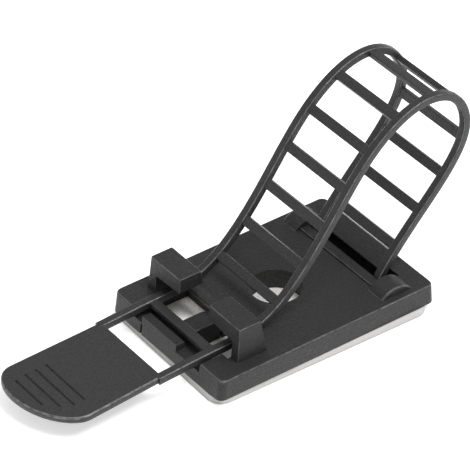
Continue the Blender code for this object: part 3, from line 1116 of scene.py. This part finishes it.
class Net:
    """A node tree in the making."""

    def __init__(self, tree: Tree) -> None:
        """Hold the tree."""
        self.tree = tree

    def put(self, inputs: Sockets, values: Values) -> None:
        """Set inputs to numbers or colours, or link sockets to them.

        Args:
            inputs: a node's inputs.
            values: what each of them gets, by its name or its number.
        """
        for key, value in values.items():
            if isinstance(value, Socket):
                self.tree.links.new(value, inputs[key])
            else:
                inputs[key].default_value = value

    def add(self, kind: str, values: Values) -> bpy.types.Node:
        """Add a node and return it, with its inputs set.

        Args:
            kind: the node's type, without the word in front that shader nodes share.
            values: what goes into its inputs, by name or number.

        Returns:
            The node.
        """
        node = self.tree.nodes.new("ShaderNode" + kind)
        self.put(node.inputs, values)
        return node

    def math(self, operation: str, *values: object, clamped: bool = False) -> Socket:
        """Work out a number.

        Args:
            operation: the Math node's operation.
            values: its inputs, each a number or a socket.
            clamped: whether the result is kept between 0 and 1.

        Returns:
            The result.
        """
        node = self.add("Math", {})
        node.operation = operation
        node.use_clamp = clamped
        self.put(node.inputs, dict(enumerate(values)))
        return node.outputs[0]

    def stretched(self, value: Socket, contrast: float, middle: float = 0.5) -> Socket:
        """Stretch a value about a half, with a new middle, and keep it between 0 and 1."""
        centred = self.math("SUBTRACT", value, 0.5)
        return self.math("MULTIPLY_ADD", centred, contrast, middle, clamped=True)

    def spread(self, value: Socket, middle: float, width: float) -> Socket:
        """Spread a value from 0 to 1 evenly about a middle."""
        return self.math("MULTIPLY_ADD", value, width, middle - width / 2)

    def place(self) -> Socket:
        """The place on the object, in metres."""
        return self.add("TexCoord", {}).outputs["Object"]

    def noise(self, scale: object, detail: float, roughness: float) -> Socket:
        """Noise on the object, from 0 to 1."""
        values = {"Vector": self.place(), "Scale": scale, "Detail": detail, "Roughness": roughness}
        return self.add("TexNoise", values).outputs["Fac"]

    def blend(self, share: Socket, first: object, second: object) -> Socket:
        """Blend from a first colour to a second by a share, and return the result.

        Args:
            share: the second colour's share.
            first: a colour.
            second: a colour.

        Returns:
            The blended colour.
        """
        node = self.add("Mix", {})
        node.data_type = "RGBA"
        self.put(node.inputs, {0: share, 6: first, 7: second})
        return node.outputs[2]


class GroupNet(Net):
    """A node group in the making."""

    def __init__(self, name: str, inputs: dict[str, float]) -> None:
        """Start the group.

        Args:
            name: its name.
            inputs: each input's name and default number.
        """
        super().__init__(bpy.data.node_groups.new(name, "ShaderNodeTree"))
        for label, value in inputs.items():
            self.socket(label, "INPUT").default_value = value
        self.given = self.tree.nodes.new("NodeGroupInput").outputs

    def socket(self, label: str, side: str) -> bpy.types.NodeTreeInterfaceSocket:
        """Add a number socket to the group's inputs or outputs."""
        make = self.tree.interface.new_socket
        return make(name=label, in_out=side, socket_type="NodeSocketFloat")

    def closed(self, results: dict[str, Socket]) -> Tree:
        """Give the group its outputs, by name, and return its tree.

        Args:
            results: what goes to each output.

        Returns:
            The tree.
        """
        for label in results:
            self.socket(label, "OUTPUT")
        self.put(self.tree.nodes.new("NodeGroupOutput").inputs, results)
        return self.tree


def moulded_surface_group() -> Tree:
    """Node group for the fine texture that a spark-eroded mould leaves.

    Returns:
        A group that puts out a height for a Bump node, a fine speckle and a slow flow, from 0 to 1.
    """
    coarse_scale, coarse_height, contrast = 0.36, 0.3, 2.2
    net = GroupNet("moulded_surface", {"Grain Scale": 5000.0, "Flow Scale": 90.0})
    grain = net.noise(net.given["Grain Scale"], detail=3.0, roughness=0.65)
    coarser = net.math("MULTIPLY", net.given["Grain Scale"], coarse_scale)
    coarse = net.noise(coarser, detail=1.0, roughness=0.5)
    flow = net.noise(net.given["Flow Scale"], detail=3.0, roughness=0.55)
    height = net.math("MULTIPLY_ADD", coarse, coarse_height, grain)
    return net.closed({"Height": height, "Speckle": net.stretched(grain, contrast), "Flow": flow})


def edge_wear_and_highlight_group() -> Tree:
    """Node group for pale edges, from the attribute that marks the rounded edges: partly scuffed
    finish, partly a painted highlight.

    Returns:
        A group that puts out a mask from 0 to 1, broken up along the edges.
    """
    contrast, cover = 2.6, 0.55
    net = GroupNet("edge_wear", {"Breakup Scale": 700.0, "Amount": 1.0})
    marked = net.add("Attribute", {})
    marked.attribute_name = WEAR_AND_HIGHLIGHT_MARK
    breakup = net.noise(net.given["Breakup Scale"], detail=4.0, roughness=0.6)
    mask = net.math("MULTIPLY", marked.outputs["Fac"], net.stretched(breakup, contrast, cover))
    return net.closed({"Mask": net.math("MULTIPLY", mask, net.given["Amount"])})


def foam_cells_group() -> Tree:
    """Node group for the closed cells of foam tape.

    Returns:
        A group that puts out a height for a Bump node and a shade from 0 to 1.
    """
    cloud_scale, cloud_share = 0.04, 0.7
    net = GroupNet("foam_cells", {"Cell Scale": 4000.0})
    scale = net.given["Cell Scale"]
    cells = net.add("TexVoronoi", {"Vector": net.place(), "Scale": scale})
    height = net.math("SUBTRACT", 1.0, cells.outputs["Distance"])
    cloud = net.noise(net.math("MULTIPLY", scale, cloud_scale), detail=3.0, roughness=0.6)
    clouded = net.math("MULTIPLY", cloud, cloud_share)
    shade = net.math("MULTIPLY_ADD", height, 1.0 - cloud_share, clouded)
    return net.closed({"Height": height, "Shade": shade})


def rim_dust_and_shade_group() -> Tree:
    """Node group that darkens the rim of a flat sheet: partly dust, partly painted shade on its
    sides.

    Returns:
        A group that puts out a mask from 0 inside the sheet to 1 along its rim.
    """
    sizes = {"Half Length": 0.0190, "Half Width": 0.0131, "Feather": 0.0008}
    net = GroupNet("dusty_rim", sizes)
    place = net.add("SeparateXYZ", {"Vector": net.place()}).outputs
    past = [
        net.math("SUBTRACT", net.math("ABSOLUTE", place[axis]), net.given[size])
        for axis, size in (("X", "Half Length"), ("Y", "Half Width"))
    ]
    inset = net.math("ADD", net.math("MAXIMUM", *past), net.given["Feather"])
    return net.closed({"Mask": net.math("DIVIDE", inset, net.given["Feather"], clamped=True)})


@dataclass(frozen=True)
class SurfaceGroups:
    """The node groups that the materials share."""

    moulded: Tree = field(default_factory=moulded_surface_group)
    wear_and_highlight: Tree = field(default_factory=edge_wear_and_highlight_group)
    cells: Tree = field(default_factory=foam_cells_group)
    rim: Tree = field(default_factory=rim_dust_and_shade_group)


class Paint(Net):
    """A material in the making."""

    def __init__(self, name: str) -> None:
        """Start a node material.

        Args:
            name: the material's name.
        """
        self.material = bpy.data.materials.new(name)
        self.material.use_nodes = True
        super().__init__(self.material.node_tree)

    def group(self, group: Tree, values: Values) -> Sockets:
        """Place a node group with its inputs set, and return its outputs.

        Args:
            group: the group's tree.
            values: what goes into its inputs, by name.

        Returns:
            Its outputs.
        """
        node = self.add("Group", {})
        node.node_tree = group
        self.put(node.inputs, values)
        return node.outputs

    def bump(self, height: Socket, depth: float) -> Socket:
        """A normal that is bumped by a height, to a depth in metres."""
        values = {"Strength": 1.0, "Distance": depth, "Height": height}
        return self.add("Bump", values).outputs["Normal"]

    def finished(self, values: Values) -> bpy.types.Material:
        """Set the shader's inputs and return the material."""
        self.put(self.tree.nodes["Principled BSDF"].inputs, values)
        return self.material


@dataclass(frozen=True)
class NylonFinish:
    """Black moulded nylon: fine matte grain, slow flow marks and pale edges, partly scuffed and
    partly a painted highlight.
    """

    name: str
    colour: Spot
    rubbed_and_highlight: Spot
    roughness: float
    rubbed_roughness: float
    grain_scale: float
    grain_depth: float
    gloss_level: float
    refraction: float = 1.5
    speckle_shades: tuple[float, float] = (0.1, 2.2)
    speckle_gloss: float = 0.1
    flow_scale: float = 110.0
    flow_shade: float = 1.1
    roughness_spread: float = 0.14
    wear_and_highlight_scale: float = 800.0
    wear_and_highlight_amount: float = 0.9

    def material(self, groups: SurfaceGroups) -> bpy.types.Material:
        """Build the material on the shared groups.

        Args:
            groups: the shared node groups.

        Returns:
            The material.
        """
        paint = Paint(self.name)
        scales = {"Grain Scale": self.grain_scale, "Flow Scale": self.flow_scale}
        grain = paint.group(groups.moulded, scales)
        # mask of the marked edges, which take a paler colour: scuffing and a painted highlight
        wear_and_highlight = {"Breakup Scale": self.wear_and_highlight_scale, "Amount": self.wear_and_highlight_amount}
        wear_and_highlight_mask = paint.group(groups.wear_and_highlight, wear_and_highlight)["Mask"]
        dark, pale = (shade_of(self.colour, share) for share in self.speckle_shades)
        speckled = paint.blend(grain["Speckle"], dark, pale)
        streaked = paint.blend(grain["Flow"], speckled, shade_of(self.colour, self.flow_shade))
        flowing = paint.spread(grain["Flow"], self.roughness, self.roughness_spread)
        speckle = paint.math("MULTIPLY_ADD", grain["Speckle"], -self.speckle_gloss, flowing)
        smoother = self.rubbed_roughness - self.roughness
        return paint.finished({
            "Base Color": paint.blend(wear_and_highlight_mask, streaked, shade_of(self.rubbed_and_highlight)),
            "Roughness": paint.math("MULTIPLY_ADD", wear_and_highlight_mask, smoother, speckle),
            "IOR": self.refraction,
            "Specular IOR Level": self.gloss_level,
            "Normal": paint.bump(grain["Height"], self.grain_depth),
        })


@dataclass(frozen=True)
class FoamFinish:
    """White closed-cell foam tape with a darker rim: partly dust, partly painted shade."""

    name: str
    colour: Spot
    warm: Spot
    dust_and_shade: Spot
    roughness: float
    cell_scale: float
    cell_depth: float
    roughness_spread: float = 0.12

    def material(self, groups: SurfaceGroups) -> bpy.types.Material:
        """Build the material on the shared groups.

        Args:
            groups: the shared node groups.

        Returns:
            The material.
        """
        paint = Paint(self.name)
        cells = paint.group(groups.cells, {"Cell Scale": self.cell_scale})
        clean = paint.blend(cells["Shade"], shade_of(self.warm), shade_of(self.colour))
        # darker towards the rim: partly dust, partly painted shade on the sides
        rim = paint.group(groups.rim, {})["Mask"]
        return paint.finished({
            "Base Color": paint.blend(rim, clean, shade_of(self.dust_and_shade)),
            "Roughness": paint.spread(cells["Shade"], self.roughness, self.roughness_spread),
            "Normal": paint.bump(cells["Height"], self.cell_depth),
        })


@dataclass(frozen=True)
class FilmFinish:
    """White coated release film with faint cockling and a darker rim: partly dust, partly painted
    shade.
    """

    name: str
    colour: Spot
    dust_and_shade: Spot
    roughness: float
    cockle_scale: float
    cockle_depth: float
    cloud_scale: float = 60.0
    cloud_shades: tuple[float, float] = (0.93, 1.05)
    roughness_spread: float = 0.12

    def material(self, groups: SurfaceGroups) -> bpy.types.Material:
        """Build the material on the shared groups.

        Args:
            groups: the shared node groups.

        Returns:
            The material.
        """
        paint = Paint(self.name)
        scales = {"Grain Scale": self.cockle_scale, "Flow Scale": self.cloud_scale}
        film = paint.group(groups.moulded, scales)
        dark, pale = (shade_of(self.colour, share) for share in self.cloud_shades)
        clean = paint.blend(film["Flow"], dark, pale)
        # darker towards the rim: partly dust, partly painted shade on the sides
        rim = paint.group(groups.rim, {})["Mask"]
        return paint.finished({
            "Base Color": paint.blend(rim, clean, shade_of(self.dust_and_shade)),
            "Roughness": paint.spread(film["Speckle"], self.roughness, self.roughness_spread),
            "Normal": paint.bump(film["Height"], self.cockle_depth),
        })


# The pale edge colours are partly scuffing, partly a painted highlight.
BASE_NYLON = NylonFinish(
    name="base_nylon", colour=(0.0175, 0.0175, 0.018), rubbed_and_highlight=(0.12, 0.12, 0.122), roughness=0.5,
    rubbed_roughness=0.28, grain_scale=3000.0, grain_depth=0.00012, gloss_level=0.33,
)
STRAP_NYLON = NylonFinish(
    name="strap_nylon", colour=(0.0205, 0.0205, 0.021), rubbed_and_highlight=(0.18, 0.18, 0.182), roughness=0.42,
    rubbed_roughness=0.22, grain_scale=3400.0, grain_depth=0.0001, gloss_level=0.4,
)
# The darker rim colours: partly dust, partly painted shade on the sheets' sides.
WHITE_FOAM = FoamFinish(
    name="white_foam", colour=(0.96, 0.96, 0.95), warm=(0.93, 0.9, 0.83), dust_and_shade=(0.55, 0.54, 0.53),
    roughness=0.85, cell_scale=3600.0, cell_depth=0.00006,
)
WHITE_LINER = FilmFinish(
    name="white_liner", colour=(0.9, 0.9, 0.89), dust_and_shade=(0.6, 0.59, 0.58), roughness=0.42,
    cockle_scale=900.0, cockle_depth=0.00002,
)


@dataclass(frozen=True)
class Lamp:
    """A square soft lamp."""

    name: str
    place: Spot
    size: float
    power: float

    def build(self, target: Spot) -> None:
        """Add the lamp, shining at a target.

        Args:
            target: the point that it shines at, in metres.
        """
        deselect_all()
        bpy.ops.object.light_add(type="AREA", location=self.place)
        lamp = added(self.name)
        lamp.data.shape = "SQUARE"
        lamp.data.size = self.size
        lamp.data.energy = self.power
        aim = Vector(target) - Vector(self.place)
        lamp.rotation_euler = aim.to_track_quat("-Z", "Y").to_euler()


@dataclass
class Studio:
    """Pale floor, soft lamps and the camera at the photograph's angle."""

    camera_place: Spot = (-0.2574, -0.3366, 0.3372)
    azimuth: float = 36.626
    elevation: float = 37.332
    roll: float = 0.106
    focal_pixels: float = 3702.0
    frame_pixels: float = 470.0
    sensor: float = 36.0
    clip: tuple[float, float] = (0.01, 10.0)
    floor_size: float = 3.0
    floor_level: float = -0.0001
    floor_tone: Spot = (0.9, 0.9, 0.9)
    floor_glow: float = 0.5
    sky_strength: float = 0.57
    target: Spot = (0.0, 0.0, 0.01)
    lamps: tuple[Lamp, ...] = (
        Lamp("key_lamp", (0.1, -0.32, 0.78), size=0.38, power=6.5),
        Lamp("front_fill", (-0.65, -0.1, 0.16), size=0.4, power=0.25),
    )

    def camera(self) -> None:
        """Set up the camera from its place, heading, roll and focal length."""
        deselect_all()
        bpy.ops.object.camera_add(location=self.camera_place)
        camera = bpy.context.object
        turns = ((-self.azimuth, "Z"), (90.0 - self.elevation, "X"), (self.roll, "Z"))
        heading, tilt, roll = (Matrix.Rotation(math.radians(a), 3, axis) for a, axis in turns)
        camera.rotation_euler = (heading @ tilt @ roll).to_euler()
        camera.data.sensor_width = self.sensor
        camera.data.lens = self.focal_pixels * self.sensor / self.frame_pixels
        camera.data.clip_start, camera.data.clip_end = self.clip
        bpy.context.scene.camera = camera

    def floor(self) -> None:
        """Lay the pale floor, which glows where it is seen, mirrored or looked at through glass."""
        deselect_all()
        place = (0.0, 0.0, self.floor_level)
        bpy.ops.mesh.primitive_plane_add(size=self.floor_size, location=place)
        floor = added("studio_floor")
        paint = Paint("studio_floor")
        path = paint.add("LightPath", {}).outputs
        seen = paint.math("ADD", path["Is Camera Ray"], path["Is Glossy Ray"])
        seen = paint.math("ADD", seen, path["Is Transmission Ray"])
        floor.data.materials.append(paint.finished({
            "Base Color": shade_of(self.floor_tone),
            "Roughness": 1.0,
            "Specular IOR Level": 0.0,
            "Emission Color": WHITE,
            "Emission Strength": paint.math("MULTIPLY", seen, self.floor_glow),
        }))

    def world(self) -> None:
        """Light everything softly from all round."""
        world = bpy.data.worlds.new("studio_world")
        bpy.context.scene.world = world
        world.use_nodes = True
        background = world.node_tree.nodes["Background"]
        background.inputs["Color"].default_value = WHITE
        background.inputs["Strength"].default_value = self.sky_strength

    def build(self) -> None:
        """Set up the whole studio."""
        self.world()
        self.floor()
        for lamp in self.lamps:
            lamp.build(self.target)
        self.camera()
        bpy.context.scene.view_settings.view_transform = "Standard"


def main() -> None:
    """Build the clip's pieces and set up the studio."""
    logging.basicConfig(level=logging.INFO, format="%(name)s: %(message)s")
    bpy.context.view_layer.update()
    groups = SurfaceGroups()
    strap = LadderStrap().build()
    hand_over(strap, "ladder_strap", STRAP_NYLON.material(groups))
    base = BaseMoulding().build()
    hand_over(base, "clip_base", BASE_NYLON.material(groups))
    foam, liner = AdhesiveStrip().build()
    hand_over(foam, "foam_pad", WHITE_FOAM.material(groups))
    hand_over(liner, "release_liner", WHITE_LINER.material(groups))
    Studio().build()
    log.info("sizes written")


if __name__ == "__main__":
    main()
